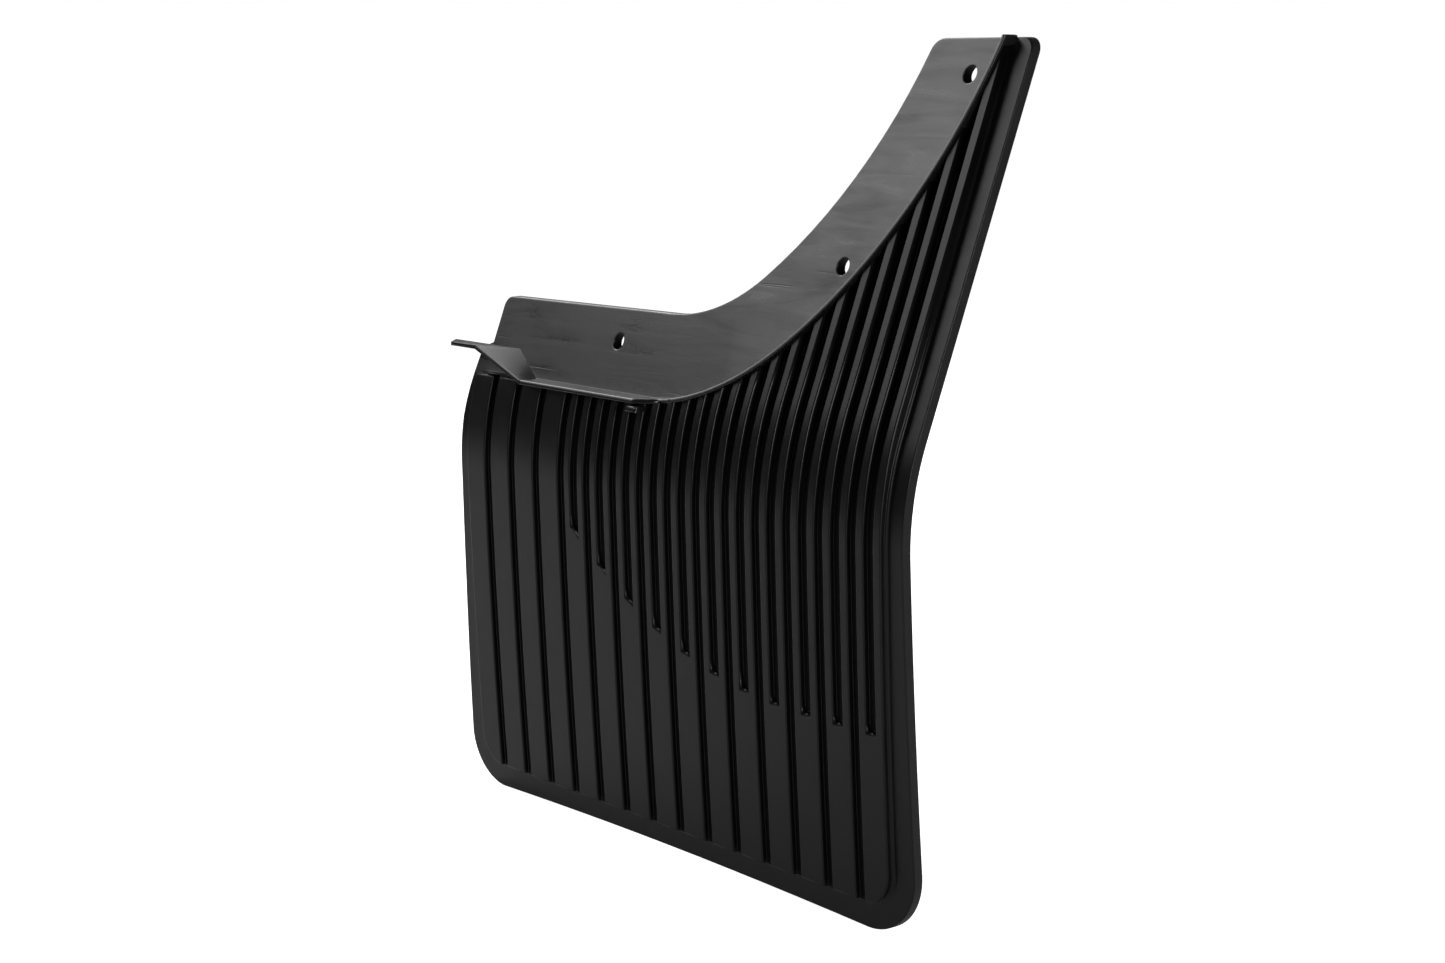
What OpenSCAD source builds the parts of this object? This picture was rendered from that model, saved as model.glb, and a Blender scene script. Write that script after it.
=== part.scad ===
// Moulded car mud flap: a ribbed hanging panel with a rounded bend, and a curved
// mounting flange with three screw holes, edged by a lip and a locating tongue.
//
// Panel coordinates, used inside every module: X runs across the flap from its
// inboard edge, Z runs up from its bottom edge, and the ribbed front faces -Y.
// place() moves the finished shapes so that the origin is the middle screw hole.

/* [Panel] */
// Width of the panel across its two side edges
panel_w = 290; // [250:1:330]
// Height from the bottom edge to the top edge
panel_h = 340.5; // [320:0.5:380]
// How far each side edge leans outwards at the bottom
bottom_flare = 2.7; // [0:0.1:4]
// How far the outboard edge leans outwards at the top
top_flare = 1.8; // [0:0.1:4]
// How far the bottom edge arches up in the middle
bottom_arch = 1.9; // [0:0.1:5]
// Thickness of the moulded sheet
sheet_t = 4.5; // [3:0.1:6]
// Radius of the inboard bottom corner
corner_in_r = 23; // [10:1:40]
// Radius of the outboard bottom corner
corner_out_r = 27; // [10:1:40]

/* [Side profile] */
// Angle of the hanging panel from vertical at its bottom edge
tail_angle = 4.9; // [0:0.1:10]
// Angle of the hanging panel from vertical where the bend starts
hang_angle = 2.1; // [0:0.1:4]
// Backward lean of the upper panel from vertical
lean_angle = 20.6; // [10:0.1:35]
// Height of the point where the bend starts
bend_start = 151; // [140:1:156]
// Radius of the bend at the front face
bend_r = 110; // [80:1:125]

/* [Ribs] */
// Number of broad ribs across the panel
rib_count = 15; // [12:1:15]
// Distance from one broad rib to the next
rib_pitch = 18.4; // [16:0.1:18.4]
// Width of a broad rib
rib_w = 13.6; // [10:0.1:15]
// Height of the rib faces above the border, on the hanging panel
rib_top = 3.1; // [2:0.1:4]
// How much higher the rib faces are above the bend
rib_rise = 1.4; // [0.2:0.1:2]
// Height of the groove floors above the border
rib_floor = 0.8; // [0.4:0.1:1.2]
// Width of the smooth border at the inboard edge
border_w = 10.2; // [8:0.1:13]
// Height of the smooth border at the bottom edge
border_h = 11.7; // [8:0.1:16]
// Corner radius of the ribbed field
field_r = 14; // [6:1:20]
// Width of the slot that splits a broad rib into two
slot_w = 5.2; // [3:0.1:7]
// First broad rib that has a slot
first_slotted = 5; // [3:1:8]

/* [Lip and tongue] */
// Height of the lip's top face above the bottom edge
lip_z = 193.5; // [190:0.5:198]
// Thickness of the lip
lip_t = 2; // [1.5:0.1:3]
// How far the inner lip stands out of the flange
lip_inner_d = 8.4; // [6:0.1:12]
// How far the outer lip stands out of the flange
lip_outer_d = 6; // [4:0.1:10]
// How far the low step between the two lips stands out
lip_step_d = 3.1; // [2:0.1:4]
// Where the inner lip starts, from the inboard edge
lip_start = 50; // [45:1:60]
// Where the inner lip ends
lip_gap_start = 131; // [120:1:140]
// Where the outer lip starts
lip_gap_end = 150.5; // [145:0.5:160]
// Width of the slope at the inner lip's end
lip_slope_w = 10; // [2:1:14]
// Width of the peg under the inner lip's end
peg_w = 7.5; // [5:0.5:12]
// Thickness of the locating tongue
tongue_t = 1.8; // [1.5:0.1:3]
// Height of the tongue's level tab above the lip
tongue_rise = 11.4; // [8:0.1:14]

/* [Screw holes] */
// Diameter of the three screw holes
hole_d = 6.6; // [5:0.1:8]

/* [Flexing] */
// How far the hanging panel can swing towards its ribbed front
swing_front = 25; // [10:1:30]
// How far the hanging panel can swing towards its plain back
swing_back = 15; // [5:1:20]

/* [Hidden] */
function two(i) = i < 10 ? str("0", i) : str(i);
// A slot runs up to the lip, so it parts the upper end of its rib into sides a and b
function sides(i) = i < first_slotted ? [""] : ["a", "b"];

// Screw holes, as distances across and up the panel on its front face
hole_inner = [100, 213.6];
hole_mid = [224.2, 252.5];
hole_outer = [263.4, 326.6];

// Curve of the lip: straight, then two arcs that meet smoothly
lip_arc_x = 129.3;
lip_arc_r = [123, 208];
lip_arc_turn = 38.5;
lip_arc_end = 81;

// Curve of the flange's outer edge, built the same way
flange_z = 227.6;
flange_drop = 0.9;
flange_arc_x = 130.2;
flange_arc_r = [79, 178];
flange_arc_turn = 40;
flange_left = 10.5;
flange_corner_r = 4.5;
top_corner_r = 6;

// Side edges: narrowest beside the bend, and on the inboard side stepped in to the flange
waist_z = 150;
inboard_edge = [[-0.3, 95], [0.7, 140], [0.9, 172], [3.2, 200]];
edge_step_z = 206;

// Outer ends of the tongue's tab, at its back edge and at its front edge
tab_back_x = -19.9;
tab_front_x = -11;
// Where the ramp meets the tab, at its back edge and at its front edge
fold_back_x = 32.2;
fold_front_x = 8.9;

arc_step = 3.5;       // degrees between the points of an arc
reach = 60;           // longer than anything that it cuts
flex_gap = 0.3;       // play between the two panels at the flexing line
peg_drop = 0.9;       // air between the lip and the peg
peg_t = 2.7;

black = "#1b1b1c";
satin = "#232324";

// ---- Side profile, as functions of the height along the front face ----

// Unit vectors along the sheet and out of its back, at an angle from vertical
function along(a) = [sin(a), cos(a)];
function behind(a) = [cos(a), -sin(a)];

tail_r = bend_start / (sin(tail_angle) - sin(hang_angle));
tail_centre = tail_r * behind(-tail_angle);
bend_point = tail_centre - tail_r * behind(-hang_angle);
bend_centre = bend_point + bend_r * behind(-hang_angle);
lean_point = bend_centre - bend_r * behind(lean_angle);
lean_len = (panel_h - lean_point[1]) / cos(lean_angle) + 8;

// A point off millimetres in front of the front face, where the sheet is at angle a
function face_point(off, a, centre, r) = centre - (r + off) * behind(a);

// The sheet's side profile, off millimetres in front of the front face below the bend,
// and rise millimetres more above it. A wider bend joins the two levels smoothly.
tail_steps = 10;
bend_steps = 14;
function profile(off, rise = 0) =
    let (wider = rise / (1 - cos(hang_angle + lean_angle)),
         centre = bend_centre + wider * behind(-hang_angle))
    concat(
        [face_point(off, -tail_angle, tail_centre, tail_r) - 4 * along(-tail_angle)],
        [for (i = [0 : tail_steps])
            face_point(off, -tail_angle + (tail_angle - hang_angle) * i / tail_steps,
                tail_centre, tail_r)],
        [for (i = [1 : bend_steps])
            face_point(off + wider, -hang_angle + (hang_angle + lean_angle) * i / bend_steps,
                centre, bend_r)],
        [lean_point - (off + rise) * behind(lean_angle) + lean_len * along(lean_angle)]
    );

// Depth of the leaning front face at height z
function lean_y(z) = lean_point[0] + (z - lean_point[1]) * tan(lean_angle);
function on_face(h) = [h[0], lean_y(h[1]), h[1]];
out_of_flange = [0, -cos(lean_angle), sin(lean_angle)];
origin_point = on_face(hole_mid) - sheet_t / 2 * out_of_flange;

// Flexing line, in the middle of the sheet halfway round the bend
flex_angle = (lean_angle - hang_angle) / 2;
flex_point = face_point(-sheet_t / 2, flex_angle, bend_centre, bend_r);

module place() {
    translate(-origin_point) children();
}

// Extrude a [y, z] outline across the panel, from x0 to x1
module across(x0, x1) {
    translate([x0, 0, 0])
        rotate([90, 0, 90])
            linear_extrude(x1 - x0) children();
}

// Extrude an [x, z] outline through the panel, from front to back
module through() {
    translate([0, 2 * reach, 0])
        rotate([90, 0, 0])
            linear_extrude(4 * reach) children();
}

// Everything between two distances in front of the sheet's front face, with the rise
// of each above the bend
module layer(back, front, back_rise = 0, front_rise = 0) {
    far = profile(back, back_rise);
    near = profile(front, front_rise);
    across(-reach, panel_w + reach)
        polygon(concat(near, [for (i = [len(far) - 1 : -1 : 0]) far[i]]));
}

// ---- Outlines, as [x, z] ----

function arc(centre, r, a0, a1) =
    let (n = max(2, ceil(abs(a1 - a0) / arc_step)))
    [for (i = [0 : n]) centre + r * [cos(a0 + (a1 - a0) * i / n), sin(a0 + (a1 - a0) * i / n)]];

// Two arcs that rise from a level line; o widens them outwards
function rising(x, z, r, turn, end, o) =
    let (c1 = [x, z + r[0]],
         c2 = c1 + (r[0] - r[1]) * [sin(turn), -cos(turn)])
    concat(arc(c1, r[0] + o, -90, turn - 90), arc(c2, r[1] + o, turn - 90, end - 90));

function lip_curve(o) = rising(lip_arc_x, lip_z, lip_arc_r, lip_arc_turn, lip_arc_end, o);

flange_c2 = [flange_arc_x, flange_z + flange_arc_r[0]]
    + (flange_arc_r[0] - flange_arc_r[1]) * [sin(flange_arc_turn), -cos(flange_arc_turn)];
flange_arc_end = acos((flange_c2[1] - panel_h + top_corner_r) / (flange_arc_r[1] + top_corner_r));
top_corner_x = flange_c2[0] + (flange_arc_r[1] + top_corner_r) * sin(flange_arc_end);

bottom_left = [corner_in_r - bottom_flare, corner_in_r];
bottom_right = [panel_w + bottom_flare - corner_out_r, corner_out_r];
top_right = [panel_w + top_flare - top_corner_r, panel_h - top_corner_r];
arch_steps = 12;

module panel_outline() {
    polygon(concat(
        arc(bottom_left, corner_in_r, 270, 180),
        inboard_edge,
        [[flange_left, edge_step_z]],
        arc([flange_left + flange_corner_r, flange_z - flange_drop - flange_corner_r],
            flange_corner_r, 180, 90),
        rising(flange_arc_x, flange_z, flange_arc_r, flange_arc_turn, flange_arc_end, 0),
        arc([top_corner_x, panel_h - top_corner_r], top_corner_r, 90 + flange_arc_end, 90),
        arc(top_right, top_corner_r, 90, 0),
        [[panel_w, waist_z]],
        arc(bottom_right, corner_out_r, 0, -90),
        [for (i = [1 : arch_steps - 1])
            let (k = i / arch_steps)
            [bottom_right[0] + (bottom_left[0] - bottom_right[0]) * k, bottom_arch * 4 * k * (1 - k)]]
    ));
}

// The whole region below and outboard of the lip, moved out by o
module below_lip(o) {
    polygon(concat(
        [[-reach, -reach], [-reach, lip_z - o]],
        lip_curve(o),
        [[panel_w + reach, panel_h + reach], [panel_w + reach, -reach]]
    ));
}

module ribbed_field() {
    right = border_w + (rib_count - 1) * rib_pitch + rib_w;
    polygon(concat(
        arc([border_w + field_r, border_h + field_r], field_r, 270, 180),
        [[border_w, panel_h], [right, panel_h]],
        arc([right - field_r, border_h + field_r], field_r, 0, -90)
    ));
}

// Height where the slots end: level outboard, rising towards the inboard side
slot_level = 81.2;
slot_level_x = 240;
slot_rise = 5.1e-4;
slot_power = 2.3;
function slot_end(x) = slot_level + slot_rise * pow(max(0, slot_level_x - x), slot_power);

module rib_outline(i) {
    left = border_w + (i - 1) * rib_pitch;
    slot_left = left + (rib_w - slot_w) / 2;
    slot_right = slot_left + slot_w;
    difference() {
        translate([left, 0]) square([rib_w, panel_h]);
        if (i >= first_slotted)
            polygon([
                [slot_left, slot_end(slot_left)],
                [slot_left, panel_h + 1],
                [slot_right, panel_h + 1],
                [slot_right, slot_end(slot_right)]
            ]);
    }
}

// The inboard half (a) or the outboard half (b) of a broad rib's strip
module strip_side(i, side) {
    middle = border_w + (i - 1) * rib_pitch + rib_w / 2;
    start = side == "b" ? middle : middle - rib_w / 2;
    translate([start, 0]) square([side == "" ? rib_w : rib_w / 2, panel_h]);
}

// ---- Flexing line ----

// Side of the flexing line to keep: 1 is above it and -1 is below it. The faces are
// relieved to the front and to the back, so the panels don't touch when they swing.
module flex_side(s) {
    base = flex_point + s * flex_gap / 2 * along(flex_angle);
    front_a = flex_angle + 180 + s * swing_front / 2;
    back_a = flex_angle - s * swing_back / 2;
    across(-reach, panel_w + reach)
        polygon([
            base,
            base + reach * behind(front_a),
            base + reach * behind(front_a) + s * 4 * reach * along(flex_angle),
            base + reach * behind(back_a) + s * 4 * reach * along(flex_angle),
            base + reach * behind(back_a)
        ]);
}

// ---- Mounting flange ----

module screw_hole(h) {
    translate(on_face(h))
        rotate([90 - lean_angle, 0, 0])
            cylinder(h = 4 * sheet_t, d = hole_d, center = true, $fn = 64);
}

module flange_plate() {
    color(satin) place()
        difference() {
            intersection() {
                layer(-sheet_t, 0);
                through() difference() {
                    panel_outline();
                    below_lip(0);
                }
            }
            screw_hole(hole_inner);
            screw_hole(hole_mid);
            screw_hole(hole_outer);
        }
}

// ---- Lip ----

lip_above = 1;       // how far the lip's top end stands above the top edge
module lip_part(x0, x1, depth) {
    color(satin) place()
        intersection() {
            layer(0, depth);
            through() intersection() {
                difference() {
                    below_lip(0);
                    below_lip(lip_t);
                }
                translate([x0, 0]) square([x1 - x0, panel_h + lip_above]);
            }
        }
}

module lip_inner() {
    lip_part(lip_start, lip_gap_start, lip_inner_d);
}

// The lip's depth falls along a slope from the inner lip's end to the low step
module lip_step() {
    base = lean_y(lip_z);
    low = base - lip_step_d / cos(lean_angle);
    intersection() {
        lip_part(lip_gap_start, lip_gap_end, lip_inner_d);
        place() linear_extrude(panel_h)
            polygon([
                [lip_gap_start, base + reach],
                [lip_gap_start, base - lip_inner_d / cos(lean_angle)],
                [lip_gap_start + lip_slope_w, low],
                [lip_gap_end, low],
                [lip_gap_end, base + reach]
            ]);
    }
}

module lip_outer() {
    lip_part(lip_gap_end, panel_w, lip_outer_d);
}

module lip_peg() {
    color(satin) place()
        intersection() {
            layer(rib_top, lip_inner_d, back_rise = rib_rise);
            through()
                translate([lip_gap_start - peg_w / 2, lip_z - lip_t - peg_drop - peg_t])
                    square([peg_w, peg_t]);
        }
}

// ---- Locating tongue ----

tab_z = lip_z + tongue_rise;
tab_y = lean_y(tab_z);
lip_y = lean_y(lip_z);

// Ruled ramp between the lip's end and the fold of the tab
ramp_steps = 6;
module tongue_ramp() {
    foot_front = [lip_start, lip_y - lip_inner_d / cos(lean_angle), lip_z];
    foot_back = [lip_start, lip_y, lip_z];
    head_front = [fold_front_x, tab_y - lip_inner_d, tab_z];
    head_back = [fold_back_x, tab_y, tab_z];
    down = -tongue_t * [0, sin(lean_angle), cos(lean_angle)];
    front = [for (i = [0 : ramp_steps]) foot_front + (head_front - foot_front) * i / ramp_steps];
    back = [for (i = [0 : ramp_steps]) foot_back + (head_back - foot_back) * i / ramp_steps];
    points = [for (i = [0 : ramp_steps]) each [front[i], back[i], back[i] + down, front[i] + down]];
    last = 4 * ramp_steps;
    walls = [for (i = [0 : ramp_steps - 1]) for (k = [0 : 3]) each [
        [4 * i + k, 4 * i + (k + 1) % 4, 4 * i + 4 + (k + 1) % 4],
        [4 * i + k, 4 * i + 4 + (k + 1) % 4, 4 * i + 4 + k]
    ]];
    color(satin) place()
        polyhedron(points, concat([[3, 2, 1, 0]], walls, [[last, last + 1, last + 2, last + 3]]));
}

module tongue_tab() {
    color(satin) place()
        intersection() {
            layer(0, reach / 2);
            translate([0, 0, tab_z - tongue_t])
                linear_extrude(tongue_t)
                    polygon([
                        [fold_back_x, tab_y],
                        [fold_front_x, tab_y - lip_inner_d],
                        [tab_front_x, tab_y - lip_inner_d],
                        [tab_back_x, tab_y]
                    ]);
        }
}

// ---- Ribbed panels ----

// The plain sheet with the low pad that carries the ribs
module sheet() {
    intersection() {
        layer(-sheet_t, 0);
        through() intersection() {
            panel_outline();
            below_lip(0);
        }
    }
    intersection() {
        layer(0, rib_floor);
        through() intersection() {
            ribbed_field();
            below_lip(lip_t);
        }
    }
}

module upper_sheet() {
    color(black) place()
        intersection() {
            sheet();
            flex_side(1);
        }
}

module lower_sheet() {
    color(black) place()
        intersection() {
            sheet();
            flex_side(-1);
        }
}

module rib(i) {
    intersection() {
        layer(rib_floor, rib_top, front_rise = rib_rise);
        through() intersection() {
            rib_outline(i);
            ribbed_field();
            below_lip(lip_t);
        }
    }
}

module lower_rib(i) {
    color(black) place()
        intersection() {
            rib(i);
            flex_side(-1);
        }
}

module upper_rib(i, side) {
    color(black) place()
        intersection() {
            rib(i);
            through() strip_side(i, side);
            flex_side(1);
        }
}

flange_plate();
lip_inner();
lip_step();
lip_outer();
lip_peg();
tongue_ramp();
tongue_tab();
upper_sheet();
lower_sheet();
for (i = [1 : rib_count]) {
    lower_rib(i);
    for (side = sides(i))
        upper_rib(i, side);
}
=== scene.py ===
"""Looks for a moulded mud flap. All lengths below are millimetres in the panel's own coordinates:
x across from the inboard edge, z up from the bottom edge, off out of the ribbed front."""
import math

import bpy
import numpy as np
from mathutils import Matrix, Vector
from mathutils.geometry import delaunay_2d_cdt


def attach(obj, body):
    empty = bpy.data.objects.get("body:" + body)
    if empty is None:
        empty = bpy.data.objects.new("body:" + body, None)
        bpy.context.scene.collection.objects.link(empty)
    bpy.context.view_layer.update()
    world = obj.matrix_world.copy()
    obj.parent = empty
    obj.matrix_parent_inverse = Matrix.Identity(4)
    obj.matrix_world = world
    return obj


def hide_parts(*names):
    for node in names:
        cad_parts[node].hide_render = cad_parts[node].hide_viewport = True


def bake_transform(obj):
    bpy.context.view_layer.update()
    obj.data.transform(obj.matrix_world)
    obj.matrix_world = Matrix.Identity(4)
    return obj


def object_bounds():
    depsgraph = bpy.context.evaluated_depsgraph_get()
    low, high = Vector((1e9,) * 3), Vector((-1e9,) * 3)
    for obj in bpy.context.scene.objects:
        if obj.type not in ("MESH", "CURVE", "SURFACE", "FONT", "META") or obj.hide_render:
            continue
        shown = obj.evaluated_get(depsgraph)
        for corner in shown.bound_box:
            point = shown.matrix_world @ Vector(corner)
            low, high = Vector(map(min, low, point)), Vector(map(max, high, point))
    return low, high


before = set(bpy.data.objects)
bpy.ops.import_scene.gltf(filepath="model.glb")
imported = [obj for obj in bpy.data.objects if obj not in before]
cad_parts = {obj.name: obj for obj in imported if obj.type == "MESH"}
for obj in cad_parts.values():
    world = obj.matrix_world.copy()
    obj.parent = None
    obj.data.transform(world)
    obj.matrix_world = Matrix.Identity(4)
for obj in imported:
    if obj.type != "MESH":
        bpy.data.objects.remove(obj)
cad_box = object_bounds()

# ---------------------------------------------------------------- sizes, as in the CAD
PANEL_W, PANEL_H, SHEET_T = 290.0, 340.5, 4.5
BOTTOM_FLARE, TOP_FLARE, BOTTOM_ARCH, LIP_ABOVE = 2.7, 1.8, 1.9, 1.0
TAIL, HANG, LEAN = 4.9, 2.1, 20.6
BEND_START, BEND_R = 151.0, 110.0
RIBS, PITCH, RIB_W = 15, 18.4, 13.6
RIB_TOP, RIB_RISE, FLOOR = 3.08, 1.4, 0.8
BORDER_W, BORDER_H, FIELD_R = 10.2, 11.7, 14.0
SLOT_W, FIRST_SLOTTED = 5.2, 5
LIP_Z, LIP_T = 193.5, 2.0
LIP_START, GAP_START, GAP_END = 50.0, 131.0, 150.5
LIP_IN, LIP_OUT, LIP_STEP, LIP_SLOPE = 8.4, 6.0, 3.1, 10.0
TONGUE_T, TONGUE_RISE = 1.8, 11.4
HOLE_R = 3.3
HOLES = [(100.0, 213.6), (224.2, 252.5), (263.4, 326.6)]

# Corners of the panel: bottom inboard, bottom outboard, and at the top edge
CORNER_IN, CORNER_OUT, CORNER_TOP = 23, 27, 6
# The inboard edge above the bottom corner, up to the small round at the flange's foot
INBOARD_EDGE = [(-0.3, 95), (0.7, 140), (0.9, 172), (3.2, 200), (6.2, 204.4), (10.5, 206)]
FLANGE_FOOT, FLANGE_FOOT_R = (15, 222.2), 4.5
# The flange's upper edge and the lip rise in two arcs each: start, radii, turn between, end
FLANGE_START, FLANGE_ARCS, FLANGE_TURN = (130.2, 227.6), (79.0, 178.0), 40.0
LIP_CURVE_X, LIP_ARCS, LIP_TURN, LIP_END = 129.3, (123.0, 208.0), 38.5, 81.0
LIP_TOP_X = 283.0
# Slot ends lie on a curve that is level from SLOT_LEVEL_X outboard
SLOT_LOW, SLOT_LEVEL_X, SLOT_CURVE, SLOT_POWER = 81.2, 240, 5.1e-4, 2.3
# How far a slot's lower end drops over the upper half of the rib's height
SLOT_SLOPE = 1.1
# The peg's half width, its distance below the lip and its height
PEG_HALF, PEG_DROP, PEG_T = 3.7, 0.95, 2.6
# The tongue's tab across: front and back corners at its inner and outer ends
TAB_INNER, TAB_OUTER = (8.9, 32.2), (-11.0, -19.85)
# How far the pad and the ribs run on under the lip, out of sight
PAD_HIDDEN, RIB_HIDDEN = 0.9, 1.1

# Heights between which the flap flexes
FLEX_FROM, FLEX_TO = 152, 192
# The sheet's materials, by their place in its list
# The pad between the ribs and the hole bores get a darker, less shiny plastic: painted shade for
# these recesses
PLAIN, PAINTED_SHADE, FLANGE, BACK = 0, 1, 2, 3
# A level stretch of outline longer than the first is divided into pieces of about the second
LONG_SPAN, SPAN_PIECE = 14, 9

# Brightness against white of the room in reflections, and of each softbox
ROOM, BACKDROP, OVERHEAD = 0.07, 0.1, 0.6
KEY, SIDE, REAR, TOP = 2.3, 9.0, 3.4, 8.0

# Camera: metres in the row frame, and degrees
CAMERA_AT, LENS, SENSOR = (0.6938, -0.6446, 0.0704), 60.39, 36
AZ, EL, ROLL = 50.0, 9.30, 0.413


def sin(a):
    return math.sin(math.radians(a))


def cos(a):
    return math.cos(math.radians(a))


def tan(a):
    return math.tan(math.radians(a))


# ---------------------------------------------------------------- side profile
TAIL_R = BEND_START / (sin(TAIL) - sin(HANG))
TAIL_C = (TAIL_R * cos(TAIL), TAIL_R * sin(TAIL))
BEND_C = (
    TAIL_C[0] - TAIL_R * cos(HANG) + BEND_R * cos(HANG),
    TAIL_C[1] - TAIL_R * sin(HANG) + BEND_R * sin(HANG),
)
LEAN_P = (BEND_C[0] - BEND_R * cos(LEAN), BEND_C[1] + BEND_R * sin(LEAN))
ORIGIN = Vector((
    HOLES[1][0],
    LEAN_P[0] + (HOLES[1][1] - LEAN_P[1]) * tan(LEAN) + SHEET_T / 2 * cos(LEAN),
    HOLES[1][1] - SHEET_T / 2 * sin(LEAN),
))


def lean_y(z):
    return LEAN_P[0] + (z - LEAN_P[1]) * tan(LEAN)


def layer_y(z, off, rise=0.0):
    """Depth at height z of the surface off millimetres in front of the front face, and rise
    millimetres more above the bend."""
    wider = rise / (1 - cos(HANG + LEAN))
    c = (BEND_C[0] + wider * cos(HANG), BEND_C[1] + wider * sin(HANG))
    r = BEND_R + off + wider
    if z < c[1] - r * sin(HANG):
        return TAIL_C[0] - math.sqrt((TAIL_R + off) ** 2 - (z - TAIL_C[1]) ** 2)
    if z < c[1] + r * sin(LEAN):
        return c[0] - math.sqrt(r ** 2 - (z - c[1]) ** 2)
    return lean_y(z) - (off + rise) / cos(LEAN)


def to_frame(x, y, z):
    """Panel millimetres to the row frame's metres."""
    return ((x - ORIGIN[0]) / 1000, (y - ORIGIN[1]) / 1000, (z - ORIGIN[2]) / 1000)


def on_sheet(x, z, off):
    return to_frame(x, layer_y(z, off), z)


def on_rib(x, z, off):
    """The ribs stand higher above the bend than below it."""
    share = max(0.0, (off - FLOOR) / (RIB_TOP - FLOOR))
    return to_frame(x, layer_y(z, off, RIB_RISE * share), z)


# Heights at which the sheet is divided, close together round the bend
ROWS = sorted(
    [7.0 * i for i in range(1, 21)] + [142.0 + 2.0 * i for i in range(32)]
)


# ---------------------------------------------------------------- outlines, as (x, z)
def arc(centre, r, a0, a1, step=3.0):
    n = max(2, math.ceil(abs(a1 - a0) / step))
    return [
        (centre[0] + r * cos(a), centre[1] + r * sin(a))
        for a in (a0 + (a1 - a0) * i / n for i in range(n + 1))
    ]


def rising(x, z, r, turn, end, o, step=3.0):
    """Two arcs that rise from a level line, widened outwards by o."""
    c1 = (x, z + r[0])
    c2 = (c1[0] + (r[0] - r[1]) * sin(turn), c1[1] - (r[0] - r[1]) * cos(turn))
    first = arc(c1, r[0] + o, -90, turn - 90, step)
    return first[:-1] + arc(c2, r[1] + o, turn - 90, end - 90, step)


def flange_outline():
    (x, z), r, turn, corner = FLANGE_START, FLANGE_ARCS, FLANGE_TURN, CORNER_TOP
    c2 = (x + (r[0] - r[1]) * sin(turn), z + r[0] - (r[0] - r[1]) * cos(turn))
    end = math.degrees(math.acos((c2[1] - PANEL_H + corner) / (r[1] + corner)))
    top_x = c2[0] + (r[1] + corner) * sin(end)
    top = arc((top_x, PANEL_H - corner), corner, 90 + end, 90, 12)
    return rising(x, z, r, turn, end, 0) + top


def spread(points):
    """Adds a point wherever the closed outline crosses a row, so that it can bend."""
    out = []
    for i in range(len(points)):
        a, b = points[i], points[(i + 1) % len(points)]
        out.append(a)
        cuts = [r for r in ROWS if min(a[1], b[1]) + 0.4 < r < max(a[1], b[1]) - 0.4]
        for r in cuts if b[1] > a[1] else reversed(cuts):
            k = (r - a[1]) / (b[1] - a[1])
            out.append((a[0] + (b[0] - a[0]) * k, r))
        gap = abs(b[0] - a[0])
        if not cuts and gap > LONG_SPAN:
            n = int(gap // SPAN_PIECE)
            for j in range(1, n):
                out.append((a[0] + (b[0] - a[0]) * j / n, a[1] + (b[1] - a[1]) * j / n))
    return out


def panel_outline():
    left, right = CORNER_IN - BOTTOM_FLARE, PANEL_W + BOTTOM_FLARE - CORNER_OUT
    top_corner = (PANEL_W + TOP_FLARE - CORNER_TOP, PANEL_H - CORNER_TOP)
    arch = [
        (right + (left - right) * i / 12, BOTTOM_ARCH * 4 * i / 12 * (1 - i / 12))
        for i in range(1, 12)
    ]
    return spread(tidy(
        arc((left, CORNER_IN), CORNER_IN, 270, 180, 5)
        + INBOARD_EDGE
        + arc(FLANGE_FOOT, FLANGE_FOOT_R, 180, 90, 10)
        + flange_outline()
        + arc(top_corner, CORNER_TOP, 90, 0, 10)
        + [(PANEL_W, 150)]
        + arc((right, CORNER_OUT), CORNER_OUT, 0, -90, 5)
        + arch
    ))


def tidy(points):
    """The closed outline without points that fall on each other."""
    out = []
    for p in points:
        if not out or math.dist(p, out[-1]) > 0.02:
            out.append(p)
    if math.dist(out[0], out[-1]) < 0.02:
        out.pop()
    return out


def lip_curve(o, step):
    """The lip's upper face, or a line o outside it."""
    return rising(LIP_CURVE_X, LIP_Z, LIP_ARCS, LIP_TURN, LIP_END, o, step)


LIP_UNDER = np.array([(-80.0, LIP_Z - LIP_T)] + lip_curve(LIP_T, 1.0) + [(PANEL_W, 460.0)])


def lip_under(x):
    """Height of the lip's lower face at x."""
    return float(np.interp(x, LIP_UNDER[:, 0], LIP_UNDER[:, 1]))


def slot_end(x):
    """Height of a slot's lower end at x."""
    return SLOT_LOW + SLOT_CURVE * max(0.0, SLOT_LEVEL_X - x) ** SLOT_POWER


def field_outline():
    right = BORDER_W + (RIBS - 1) * PITCH + RIB_W
    top = [(x, lip_under(x) + PAD_HIDDEN) for x in np.arange(right - 2.5, BORDER_W + 2, -6.0)]
    return spread(tidy(
        arc((BORDER_W + FIELD_R, BORDER_H + FIELD_R), FIELD_R, 270, 180, 6)
        + [(BORDER_W, lip_under(BORDER_W) + PAD_HIDDEN)]
        + top[::-1]
        + [(right, min(lip_under(right) + PAD_HIDDEN, PANEL_H - 4))]
        + arc((right - FIELD_R, BORDER_H + FIELD_R), FIELD_R, 0, -90, 6)
    ))


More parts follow.
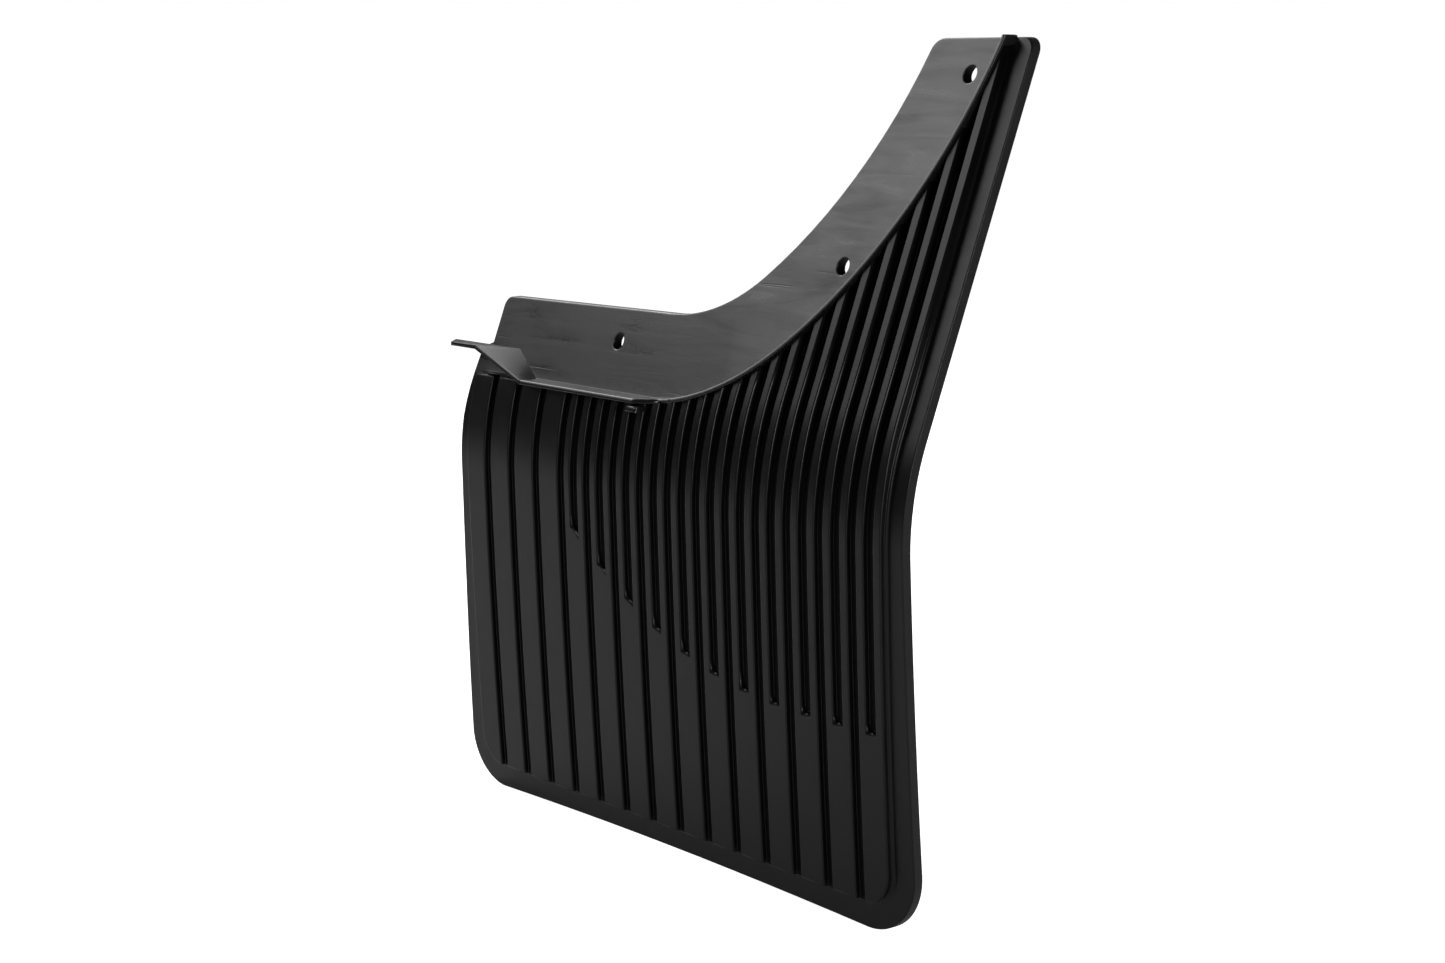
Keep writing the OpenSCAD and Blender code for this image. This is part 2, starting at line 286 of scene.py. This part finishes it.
def rib_outline(i):
    left = BORDER_W + (i - 1) * PITCH
    right = left + RIB_W

    def top(x):
        return min(lip_under(x) + RIB_HIDDEN, PANEL_H - 3.2)

    points = [(left, top(left))]
    if i == 1:
        points = arc((left + FIELD_R, BORDER_H + FIELD_R), FIELD_R, 264, 180, 6) + points
    else:
        points = [(left, BORDER_H)] + points
    if i >= FIRST_SLOTTED:
        a = left + (RIB_W - SLOT_W) / 2
        b = a + SLOT_W
        points += [(a, top(a)), (a, slot_end(a)), (b, slot_end(b)), (b, top(b))]
    points += [(right, top(right))]
    if i == RIBS:
        points += arc((right - FIELD_R, BORDER_H + FIELD_R), FIELD_R, 0, -83, 6)
    else:
        points += [(right, BORDER_H)]
    return spread(tidy(points))


# ---------------------------------------------------------------- mesh building
def area(points):
    p = np.array(points)
    q = np.roll(p, -1, axis=0)
    return 0.5 * float(np.sum(p[:, 0] * q[:, 1] - q[:, 0] * p[:, 1]))


def inset(points, d):
    """The closed outline moved inwards by d, with mitred corners."""
    p = np.array(points)
    turn = 1.0 if area(points) > 0 else -1.0
    before, after = p - np.roll(p, 1, axis=0), np.roll(p, -1, axis=0) - p
    n0 = np.stack([-before[:, 1], before[:, 0]], 1) * turn
    n1 = np.stack([-after[:, 1], after[:, 0]], 1) * turn
    n0 /= np.linalg.norm(n0, axis=1)[:, None]
    n1 /= np.linalg.norm(n1, axis=1)[:, None]
    m = n0 + n1
    m /= np.maximum(np.sum(m * n0, axis=1), 0.35)[:, None]
    return [tuple(v) for v in p + m * d]


def inside(points, polygon):
    """Which points lie inside the polygon."""
    p, q = np.array(points), np.array(polygon)
    a, b = q, np.roll(q, -1, axis=0)
    hit = np.zeros(len(p), bool)
    for (x0, y0), (x1, y1) in zip(a, b):
        if y0 == y1:
            continue
        crosses = (y0 > p[:, 1]) != (y1 > p[:, 1])
        hit ^= crosses & (p[:, 0] < (x1 - x0) * (p[:, 1] - y0) / (y1 - y0) + x0)
    return hit


class Mesh:
    """Vertices and faces that build up into one closed piece."""

    def __init__(self):
        self.points, self.faces, self.kinds = [], [], []

    def add(self, points):
        start = len(self.points)
        self.points += list(points)
        return list(range(start, len(self.points)))

    def face(self, ids, kind=0):
        self.faces.append(tuple(ids))
        self.kinds.append(kind)

    def loft(self, a, b, flip=False, kind=0):
        """Faces between two closed rings of points."""
        n = len(a)
        for i in range(n):
            j = (i + 1) % n
            f = (a[i], a[j], b[j], b[i])
            self.face(f[::-1] if flip else f, kind)

    def skin(self, loops, offs, keep, flip, mapping, extra=(), kind=None):
        """Fills between outlines, each at its own height, and gives back each outline's ids."""
        flat, height, edges = [], [], []
        for points, off in zip(loops, offs):
            start = len(flat)
            flat += points
            height += [off] * len(points)
            edges += [(start + i, start + (i + 1) % len(points)) for i in range(len(points))]
        for x, z, off in extra:
            flat.append((x, z))
            height.append(off)
        corners = [Vector(p) for p in flat]
        made, _, tris, origin, _, _ = delaunay_2d_cdt(corners, edges, [], 0, 1e-5)
        place = [0] * len(made)
        where = {}
        for i, sources in enumerate(origin):
            if sources:
                place[i] = height[sources[0]]
                for s in sources:
                    where[s] = i
            else:
                place[i] = 0.0
        ids = self.add([mapping(v.x, v.y, h) for v, h in zip(made, place)])
        centre = np.array([
            [sum(made[k].x for k in t) / 3, sum(made[k].y for k in t) / 3] for t in tris
        ])
        good = keep(centre)
        for t, ok, c in zip(tris, good, centre):
            if not ok:
                continue
            a, b, d = (made[k] for k in t)
            ccw = (b.x - a.x) * (d.y - a.y) - (b.y - a.y) * (d.x - a.x) > 0
            t = [ids[k] for k in t]
            if ccw == flip:
                t.reverse()
            self.face(t, kind(c, [place[k - ids[0]] for k in t]) if kind else 0)
        out, start = [], 0
        for points in loops:
            out.append([ids[where[start + i]] for i in range(len(points))])
            start += len(points)
        return out

    def piece(self, name, materials, sharp=None):
        mesh = bpy.data.meshes.new(name)
        used = sorted({i for f in self.faces for i in f})
        index = {k: i for i, k in enumerate(used)}
        faces = [[index[i] for i in f] for f in self.faces]
        mesh.from_pydata([self.points[k] for k in used], [], faces)
        for m in materials:
            mesh.materials.append(m)
        mesh.polygons.foreach_set("material_index", self.kinds)
        mesh.validate()
        mesh.shade_smooth()
        if sharp:
            mesh.set_sharp_from_angle(angle=math.radians(sharp))
        obj = bpy.data.objects.new(name, mesh)
        bpy.context.scene.collection.objects.link(obj)
        return obj


# A rib's edge: distance inwards from its outline, with its share of the wall's height in EDGE,
# and in CREST with millimetres from the rib's face
EDGE = [(-0.45, -0.02), (-0.28, 0.0), (-0.12, 0.03), (-0.03, 0.10), (0.0, 0.22), (0.0, 0.5)]
CREST = [(0.02, -0.60), (0.09, -0.38), (0.21, -0.20), (0.38, -0.07), (0.60, 0.0), (0.85, 0.0)]
# The sheet's edges and the pad's: distance inwards from the outline, and millimetres out from
# the front face, or in BACK_ROUND into the sheet from the back face
FRONT_ROUND = [(0.0, -0.5), (0.04, -0.31), (0.14, -0.14), (0.28, -0.04), (0.48, 0.0), (0.8, 0.0)]
BACK_ROUND = [(0.0, 0.35), (0.03, 0.2), (0.1, 0.09), (0.2, 0.02), (0.35, 0.0), (0.7, 0.0)]
PAD_STEP = [
    (-1.4, 0.0), (-1.15, 0.02), (-0.9, 0.12), (-0.7, 0.36),
    (-0.55, 0.62), (-0.4, 0.76), (-0.2, 0.8), (0.3, 0.8),
]
# A screw hole's rim: radius, and millimetres from the face
BORE = [
    (HOLE_R, -0.4), (HOLE_R + 0.06, -0.2), (HOLE_R + 0.2, -0.05),
    (HOLE_R + 0.45, 0.0), (HOLE_R + 0.8, 0.0),
]


# ---------------------------------------------------------------- materials
def node(tree, kind, x=0, y=0, **inputs):
    n = tree.nodes.new(kind)
    n.location = (x, y)
    for k, v in inputs.items():
        n.inputs[k].default_value = v
    return n


def plastic(name, colour, rough, specular, grain=0.12, marks=0.0, scratches=0.0):
    """Moulded black plastic: fine grain and cloudy sheen, and on smooth faces flow marks and
    scratches."""
    mat = bpy.data.materials.new(name)
    mat.use_nodes = True
    t = mat.node_tree
    bsdf = t.nodes["Principled BSDF"]
    bsdf.inputs["Specular IOR Level"].default_value = specular
    bsdf.inputs["IOR"].default_value = 1.5
    where = node(t, "ShaderNodeTexCoord", -1400, 0)
    link = t.links.new

    cloud = node(t, "ShaderNodeTexNoise", -1000, 300, Scale=38.0, Detail=5.0, Roughness=0.6)
    link(where.outputs["Object"], cloud.inputs["Vector"])
    speck = node(t, "ShaderNodeTexNoise", -1000, 0, Scale=900.0, Detail=3.0, Roughness=0.7)
    link(where.outputs["Object"], speck.inputs["Vector"])

    tint = node(t, "ShaderNodeValToRGB", -700, 400)
    tint.color_ramp.elements[0].position = 0.3
    tint.color_ramp.elements[0].color = (*[c * 0.8 for c in colour], 1)
    tint.color_ramp.elements[1].position = 0.72
    tint.color_ramp.elements[1].color = (*[c * 1.25 for c in colour], 1)
    link(cloud.outputs["Fac"], tint.inputs["Fac"])
    link(tint.outputs["Color"], bsdf.inputs["Base Color"])

    # Flow marks: soft streaks along the flange, where the melt ran
    squash = node(t, "ShaderNodeMapping", -1200, -350)
    squash.inputs["Scale"].default_value = (22.0, 22.0, 150.0)
    link(where.outputs["Object"], squash.inputs["Vector"])
    flow = node(t, "ShaderNodeTexNoise", -1000, -350, Scale=1.0, Detail=6.0, Roughness=0.62)
    flow.inputs["Distortion"].default_value = 0.8
    link(squash.outputs["Vector"], flow.inputs["Vector"])

    sheen = node(t, "ShaderNodeMapRange", -700, 100)
    sheen.inputs["From Min"].default_value = 0.3
    sheen.inputs["From Max"].default_value = 0.7
    sheen.inputs["To Min"].default_value = rough - 0.045 - 0.10 * marks
    sheen.inputs["To Max"].default_value = rough + 0.045 + 0.10 * marks
    both = node(t, "ShaderNodeMix", -850, 120)
    both.data_type = "FLOAT"
    both.inputs["Factor"].default_value = 0.35 + 0.3 * marks
    link(cloud.outputs["Fac"], both.inputs["A"])
    link(flow.outputs["Fac"], both.inputs["B"])
    link(both.outputs["Result"], sheen.inputs["Value"])
    link(sheen.outputs["Result"], bsdf.inputs["Roughness"])

    fine = node(t, "ShaderNodeBump", -350, -150)
    fine.inputs["Strength"].default_value = grain
    fine.inputs["Distance"].default_value = 0.0002
    link(speck.outputs["Fac"], fine.inputs["Height"])
    last = fine
    if marks:
        wavy = node(t, "ShaderNodeBump", -180, -250)
        wavy.inputs["Strength"].default_value = 0.1 * marks
        wavy.inputs["Distance"].default_value = 0.0006
        link(flow.outputs["Fac"], wavy.inputs["Height"])
        link(last.outputs["Normal"], wavy.inputs["Normal"])
        last = wavy
    if scratches:
        warp = node(t, "ShaderNodeMapping", -1200, -700)
        warp.inputs["Rotation"].default_value = (0.0, 0.35, 0.0)
        warp.inputs["Scale"].default_value = (9.0, 9.0, 420.0)
        link(where.outputs["Object"], warp.inputs["Vector"])
        lines = node(t, "ShaderNodeTexNoise", -1000, -700, Scale=1.0, Detail=2.0, Roughness=0.5)
        link(warp.outputs["Vector"], lines.inputs["Vector"])
        cut = node(t, "ShaderNodeValToRGB", -700, -700)
        cut.color_ramp.elements[0].position = 0.685
        cut.color_ramp.elements[0].color = (0, 0, 0, 1)
        cut.color_ramp.elements[1].position = 0.72
        cut.color_ramp.elements[1].color = (1, 1, 1, 1)
        link(lines.outputs["Fac"], cut.inputs["Fac"])
        scored = node(t, "ShaderNodeBump", 0, -400)
        scored.inputs["Strength"].default_value = scratches
        scored.inputs["Distance"].default_value = 0.0003
        scored.invert = True
        link(cut.outputs["Color"], scored.inputs["Height"])
        link(last.outputs["Normal"], scored.inputs["Normal"])
        last = scored
    link(last.outputs["Normal"], bsdf.inputs["Normal"])
    return mat


RIB_BLACK = plastic("rib_plastic", (0.005, 0.005, 0.0053), 0.31, 0.31, grain=0.10)
# Painted shade: a darker, less shiny plastic for the pad between the ribs and the hole bores,
# standing in for the shade in these recesses
PAINTED_SHADE_BLACK = plastic("painted_shade_plastic", (0.002, 0.002, 0.0021), 0.6, 0.16, grain=0.3)
FLANGE_BLACK = plastic(
    "flange_plastic", (0.008, 0.008, 0.0084), 0.36, 0.70, grain=0.06, marks=1.1, scratches=0.25
)
LIP_BLACK = plastic("lip_plastic", (0.010, 0.010, 0.0105), 0.22, 0.5, grain=0.04)
TONGUE_BLACK = plastic("tongue_plastic", (0.007, 0.007, 0.0074), 0.32, 0.25, grain=0.05)
BACK_BLACK = plastic("back_plastic", (0.011, 0.011, 0.0115), 0.5, 0.45, grain=0.16, marks=0.3)


# ---------------------------------------------------------------- the sheet
def circle(h, r, n=48):
    return [(h[0] + r * cos(360 * i / n), h[1] + r * sin(360 * i / n)) for i in range(n)]


def bend_grid(step, region, avoid):
    """Points inside the region, on the rows, that let the sheet bend."""
    out = []
    for z in ROWS:
        for x in np.arange(2.0, PANEL_W - 1, step):
            out.append((float(x), z))
    ok = inside(out, region)
    for loop in avoid:
        ok &= ~inside(out, loop)
    return [p for p, good in zip(out, ok) if good]


def make_sheet():
    m = Mesh()
    outline = panel_outline()
    field = field_outline()
    edge = [inset(outline, d) for d, _ in FRONT_ROUND]
    step = [inset(field, d) for d, _ in PAD_STEP]
    rims = [circle(h, r) for h in HOLES for r, _ in BORE]

    loops = edge + step + rims
    offs = [h for _, h in FRONT_ROUND + PAD_STEP] + [h for _ in HOLES for _, h in BORE]
    low = bend_grid(9.0, inset(outline, 2.0), [inset(field, -2.2)])
    high = bend_grid(4.6, inset(field, 1.5), [])
    extra = [(x, z, 0.0) for x, z in low] + [(x, z, FLOOR) for x, z in high]

    def keep(c):
        ok = inside(c, outline)
        for h in HOLES:
            ok &= np.hypot(c[:, 0] - h[0], c[:, 1] - h[1]) > HOLE_R * 0.997
        return ok

    def kind(c, heights):
        """Which material: painted shade (a darker, less shiny plastic) on the pad's groove floors,
        the flange above the lip, plain border.
        """
        if min(heights) > FLOOR - 0.1:
            return PAINTED_SHADE
        return FLANGE if c[1] > lip_under(c[0]) else PLAIN

    front = m.skin(loops, offs, keep, False, on_sheet, extra, kind)
    back_loops = [inset(outline, d) for d, _ in BACK_ROUND] + rims
    back_offs = [h - SHEET_T for _, h in BACK_ROUND]
    back_offs += [-SHEET_T - h for _ in HOLES for _, h in BORE]
    back_extra = [(x, z, -SHEET_T) for x, z in bend_grid(9.0, inset(outline, 2.0), [])]
    back = m.skin(back_loops, back_offs, keep, True, on_sheet, back_extra, lambda c, h: BACK)
    m.loft(front[0], back[0], flip=area(outline) > 0, kind=BACK)
    for k in range(len(HOLES)):
        a = front[len(edge) + len(step) + k * len(BORE)]
        b = back[len(BACK_ROUND) + k * len(BORE)]
        # The hole bores get the darker plastic as painted shade.
        m.loft(a, b, flip=False, kind=PAINTED_SHADE)
    return m.piece("sheet", [RIB_BLACK, PAINTED_SHADE_BLACK, FLANGE_BLACK, BACK_BLACK])


# ---------------------------------------------------------------- the ribs
def make_rib(i):
    m = Mesh()
    outline = rib_outline(i)
    wall = [(d, FLOOR + (RIB_TOP - FLOOR) * h) for d, h in EDGE]
    wall += [(d, RIB_TOP + h) for d, h in CREST]
    loops = [inset(outline, d) for d, _ in wall]
    offs = [h for _, h in wall]
    # A slot's lower end slopes back in its upper half
    ends = [
        k for k, (x, z) in enumerate(outline)
        if i >= FIRST_SLOTTED and abs(z - slot_end(x)) < 0.01
    ]
    for loop, off in zip(loops, offs):
        share = (off - FLOOR) / (RIB_TOP - FLOOR)
        for k in ends:
            loop[k] = (loop[k][0], loop[k][1] - SLOT_SLOPE * max(0.0, 2 * share - 1))
    offs[0] = FLOOR - 0.12
    region = inset(outline, 1.2)
    left = BORDER_W + (i - 1) * PITCH
    extra = [(x, z, RIB_TOP) for z in ROWS for x in (left + 4.4, left + 9.6)]
    ok = inside([(x, z) for x, z, _ in extra], region)
    extra = [e for e, good in zip(extra, ok) if good]
    top = m.skin(loops, offs, lambda c: inside(c, loops[0]), False, on_rib, extra)
    base = m.skin([loops[0]], [-0.4], lambda c: inside(c, loops[0]), True, on_sheet)
    m.loft(top[0], base[0], flip=area(outline) > 0)
    return m.piece("rib_%02d" % i, [RIB_BLACK])


# ---------------------------------------------------------------- the lip
def lip_section(depth):
    """Across the lip from its upper face, and out of the flange."""
    r = 0.5
    rise = [(-0.5, -0.02), (-0.22, 0.05), (-0.06, 0.2), (0.0, 0.5)]
    crest = [(0.03, depth - r), (0.11, depth - 0.22), (0.28, depth - 0.06), (0.5, depth)]
    fall = [(LIP_T - x, y) for x, y in reversed(crest)]
    return rise + crest + fall + [(LIP_T, 0.3), (LIP_T, -0.4), (-0.5, -0.4)]


def walk(x0, x1, step=1.6):
    """Points along the lip's upper face from x0 to x1, each with its normal and direction."""
    level = [(x0 - 5.0, LIP_Z)] if x0 < LIP_CURVE_X else []
    curve = np.array(level + lip_curve(0, 0.8))
    length = np.concatenate([[0], np.cumsum(np.hypot(*np.diff(curve, axis=0).T))])
    xs, zs = curve[:, 0], curve[:, 1]
    s0 = float(np.interp(x0, xs, length))
    s1 = float(np.interp(x1, xs, length))
    s_top = float(np.interp(PANEL_H + LIP_ABOVE - 0.05, zs, length))
    s1 = min(s1, s_top)
    n = max(4, int((s1 - s0) / step))
    out = []
    for k in range(n + 1):
        s = s0 + (s1 - s0) * k / n
        p = np.array([np.interp(s, length, xs), np.interp(s, length, zs)])
        q = np.array([np.interp(s + 0.6, length, xs), np.interp(s + 0.6, length, zs)])
        o = np.array([np.interp(s - 0.6, length, xs), np.interp(s - 0.6, length, zs)])
        d = (q - o) / np.linalg.norm(q - o)
        out.append((p, np.array([d[1], -d[0]]), d))
    return out


def lip_depth(name, x):
    """How far the lip stands out at x: the inner lip slopes down to the low step."""
    if name == "lip_step":
        return max(LIP_STEP, LIP_IN - (LIP_IN - LIP_STEP) * (x - GAP_START) / LIP_SLOPE)
    return LIP_IN if name == "lip_inner" else LIP_OUT


def make_lip(name, x0, x1):
    m = Mesh()
    stations = walk(x0, x1)
    ends = [(0.0, 0.35), (0.1, 0.14), (0.32, 0.0)]
    rings = []

    def ring(p, n, shrink):
        pts = []
        depth = lip_depth(name, p[0])
        for w, d in lip_section(depth):
            w = min(max(w, shrink), LIP_T - shrink)
            d = min(d, depth - shrink)
            x, z = p + n * w
            z = min(z, PANEL_H + LIP_ABOVE - 0.02)
            pts.append(to_frame(x, lean_y(z) - d / cos(LEAN), z))
        return m.add(pts)

    first, last = stations[0], stations[-1]
    for along, shrink in ends:
        rings.append(ring(first[0] + first[2] * along, first[1], shrink))
    for p, n, _ in stations[1:-1]:
        rings.append(ring(p, n, 0.0))
    for along, shrink in reversed(ends):
        rings.append(ring(last[0] - last[2] * along, last[1], shrink))
    for a, b in zip(rings, rings[1:]):
        m.loft(a, b, flip=True)
    m.face(rings[0])
    m.face(rings[-1][::-1])
    return m.piece(name + "_edge", [LIP_BLACK], sharp=50)


def make_peg():
    """Square peg under the inner lip's end."""
    m = Mesh()
    x0, x1 = GAP_START - PEG_HALF, GAP_START + PEG_HALF
    z0, z1 = LIP_Z - LIP_T - PEG_DROP - PEG_T, LIP_Z - LIP_T - PEG_DROP
    top = LIP_IN - 0.05
    outline = [(x0, z0), (x1, z0), (x1, z1), (x0, z1)]
    rings = [
        (0.0, 0.2), (0.0, top - 0.8), (0.06, top - 0.5),
        (0.2, top - 0.24), (0.42, top - 0.07), (0.7, top),
    ]
    ids = []
    for d, off in rings:
        loop = inset(outline, d)
        ids.append(m.add([on_sheet(x, z, off) for x, z in loop]))
    for a, b in zip(ids, ids[1:]):
        m.loft(a, b, flip=False)
    m.face(ids[-1])
    m.face(ids[0][::-1])
    return m.piece("lip_peg", [LIP_BLACK], sharp=50)


# ---------------------------------------------------------------- the tongue
def strip(name, stations, down):
    """A bar swept through stations: its front and back top edges, and how far its ends draw in."""
    m = Mesh()
    r = 0.45
    t = TONGUE_T
    corner = [(0.0, t - r), (0.0, r), (0.07, 0.2), (0.2, 0.06), (r, 0.0)]
    rings = []
    for front, back, shrink in stations:
        f, b = np.array(front, float), np.array(back, float)
        width = np.linalg.norm(b - f)
        u = (b - f) / width
        sec = [(max(w, shrink), max(d, shrink)) for w, d in corner]
        sec += [(width, shrink), (width, t - shrink)]
        sec += [
            (r, t - shrink),
            (max(0.2, shrink), t - max(0.06, shrink)),
            (max(0.07, shrink), t - max(0.2, shrink)),
        ]
        pts = [to_frame(*(f + u * w + down * d)) for w, d in sec]
        rings.append(m.add(pts))
    for a, b in zip(rings, rings[1:]):
        m.loft(a, b, flip=True)
    m.face(rings[0])
    m.face(rings[-1][::-1])
    return m.piece(name, [TONGUE_BLACK], sharp=40)


def make_tongue():
    tab_z = LIP_Z + TONGUE_RISE
    tab_y, foot_y = lean_y(tab_z), lean_y(LIP_Z)
    foot = (
        np.array((LIP_START, foot_y - LIP_IN / cos(LEAN), LIP_Z)),
        np.array((LIP_START, foot_y, LIP_Z)),
    )

    def tab_edge(across):
        return (
            np.array((across[0], tab_y - LIP_IN, tab_z)),
            np.array((across[1], tab_y, tab_z)),
        )

    def between(start, end, k, shrink):
        front, back = (a + (b - a) * k for a, b in zip(start, end))
        return front, back, shrink

    head, outer = tab_edge(TAB_INNER), tab_edge(TAB_OUTER)
    tilt = -np.array((0.0, sin(LEAN), cos(LEAN)))
    n = 14
    ramp = strip("tongue_ramp", [between(foot, head, i / n, 0.0) for i in range(n + 1)], tilt)
    tab_ends = [
        (0.0, 0.0), (0.25, 0.0), (0.5, 0.0), (0.75, 0.0),
        (0.988, 0.0), (0.996, 0.12), (1.0, 0.35),
    ]
    stations = [between(head, outer, k, shrink) for k, shrink in tab_ends]
    tab = strip("tongue_tab", stations, np.array((0.0, 0.0, -1.0)))
    return ramp, tab


def numbered(stem, i):
    """The nodes of rib i: a slotted rib is two above the bend."""
    name = "%s_%02d" % (stem, i)
    return [name] if stem == "lower_rib" or i < FIRST_SLOTTED else [name + "a", name + "b"]


# Points on the sheet's front at the lower and upper end of the range where the flap flexes
FLEX_LOW = Vector(on_sheet(PANEL_W / 2, FLEX_FROM, 0))
FLEX_HIGH = Vector(on_sheet(PANEL_W / 2, FLEX_TO, 0))

sheet = make_sheet()
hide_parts("flange_plate", "upper_sheet", "lower_sheet")
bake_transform(sheet)
for i in range(1, RIBS + 1):
    rib = make_rib(i)
    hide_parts(*numbered("upper_rib", i), *numbered("lower_rib", i))
    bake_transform(rib)
for name, x0, x1 in [
    ("lip_inner", LIP_START, GAP_START),
    ("lip_step", GAP_START - 0.4, GAP_END + 0.5),
    ("lip_outer", GAP_END, LIP_TOP_X),
]:
    lip = make_lip(name, x0, x1)
    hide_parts(name)
    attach(lip, "mount")
peg = make_peg()
ramp, tab = make_tongue()
for piece, name in [(peg, "lip_peg"), (ramp, "tongue_ramp"), (tab, "tongue_tab")]:
    piece.name = name + "_form"
    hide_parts(name)
    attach(piece, "mount")


# ---------------------------------------------------------------- floor, light, camera
def lay_floor():
    """A pale floor that the camera sees as pure white."""
    bpy.ops.mesh.primitive_plane_add(size=60, location=(0, 0, cad_box[0][2] - 0.0002))
    floor = bpy.context.object
    floor.name = "floor"
    pale = bpy.data.materials.new("floor_pale")
    pale.use_nodes = True
    t = pale.node_tree
    paper = t.nodes["Principled BSDF"]
    paper.inputs["Base Color"].default_value = (0.84, 0.84, 0.84, 1)
    paper.inputs["Roughness"].default_value = 0.9
    paper.inputs["Specular IOR Level"].default_value = 0.0
    glow = node(t, "ShaderNodeEmission", 0, -300)
    glow.inputs["Color"].default_value = (1, 1, 1, 1)
    rays = node(t, "ShaderNodeLightPath", -300, -500)
    t.links.new(rays.outputs["Is Camera Ray"], glow.inputs["Strength"])
    add = node(t, "ShaderNodeAddShader", 200, 0)
    t.links.new(paper.outputs["BSDF"], add.inputs[0])
    t.links.new(glow.outputs["Emission"], add.inputs[1])
    t.links.new(add.outputs["Shader"], t.nodes["Material Output"].inputs["Surface"])
    floor.data.materials.append(pale)


def fill_room():
    """White to the camera. In reflections it is dim, a little brighter behind the object, and
    dimmer overhead."""
    world = bpy.data.worlds.new("studio")
    bpy.context.scene.world = world
    world.use_nodes = True
    t = world.node_tree
    sky = t.nodes["Background"]
    where = node(t, "ShaderNodeTexCoord", -1200, 0)
    axes = node(t, "ShaderNodeSeparateXYZ", -1000, 0)
    t.links.new(where.outputs["Generated"], axes.inputs["Vector"])
    behind = node(t, "ShaderNodeMapRange", -800, 100)
    behind.interpolation_type = "SMOOTHSTEP"
    behind.inputs["From Min"].default_value = -0.1
    behind.inputs["From Max"].default_value = 0.5
    behind.inputs["To Min"].default_value = ROOM
    behind.inputs["To Max"].default_value = BACKDROP
    t.links.new(axes.outputs["Y"], behind.inputs["Value"])
    above = node(t, "ShaderNodeMapRange", -800, -200)
    above.interpolation_type = "SMOOTHSTEP"
    above.inputs["From Min"].default_value = 0.3
    above.inputs["From Max"].default_value = 0.8
    above.inputs["To Min"].default_value = 1.0
    above.inputs["To Max"].default_value = OVERHEAD
    t.links.new(axes.outputs["Z"], above.inputs["Value"])
    tone = node(t, "ShaderNodeMath", -550, 0)
    tone.operation = "MULTIPLY"
    t.links.new(behind.outputs["Result"], tone.inputs[0])
    t.links.new(above.outputs["Result"], tone.inputs[1])
    rays = node(t, "ShaderNodeLightPath", -800, -500)
    pick = node(t, "ShaderNodeMath", -300, 0)
    pick.operation = "MAXIMUM"
    t.links.new(tone.outputs["Value"], pick.inputs[0])
    t.links.new(rays.outputs["Is Camera Ray"], pick.inputs[1])
    t.links.new(pick.outputs["Value"], sky.inputs["Strength"])
    sky.inputs["Color"].default_value = (1, 1, 1, 1)


def soft_light(name, direction, distance, size, radiance):
    """A rectangular softbox that faces the object, as bright as radiance times white."""
    light = bpy.data.lights.new(name, "AREA")
    light.shape = "RECTANGLE"
    light.size, light.size_y = size
    light.energy = radiance * math.pi * size[0] * size[1]
    obj = bpy.data.objects.new(name, light)
    place = Vector(direction).normalized() * distance
    obj.location = place
    obj.rotation_mode = "QUATERNION"
    obj.rotation_quaternion = (-place).to_track_quat("-Z", "Y")
    obj.visible_camera = False
    bpy.context.scene.collection.objects.link(obj)


def place_camera():
    camera = bpy.data.cameras.new("camera")
    camera.lens = LENS
    camera.sensor_width = SENSOR
    cam = bpy.data.objects.new("camera", camera)
    back = Vector((sin(AZ) * cos(EL), -cos(AZ) * cos(EL), sin(EL)))
    right = Vector((cos(AZ), sin(AZ), 0))
    up = back.cross(right)
    rolled_right = right * cos(ROLL) + up * sin(ROLL)
    rolled_up = -right * sin(ROLL) + up * cos(ROLL)
    pose = Matrix((rolled_right, rolled_up, back)).transposed().to_4x4()
    pose.translation = Vector(CAMERA_AT)
    cam.matrix_world = pose
    camera.clip_start, camera.clip_end = 0.01, 100
    bpy.context.scene.collection.objects.link(cam)
    bpy.context.scene.camera = cam


lay_floor()
fill_room()
soft_light("key", (-0.78, -0.33, 0.53), 1.6, (1.7, 0.75), KEY)
soft_light("side", (0.957, -0.203, 0.208), 1.6, (0.5, 0.7), SIDE)
soft_light("rear", (-0.756, 0.374, 0.529), 1.6, (1.2, 0.7), REAR)
soft_light("top", (-0.75, -0.03, 0.66), 1.5, (0.9, 0.22), TOP)
place_camera()
bpy.context.scene.view_settings.view_transform = "Standard"
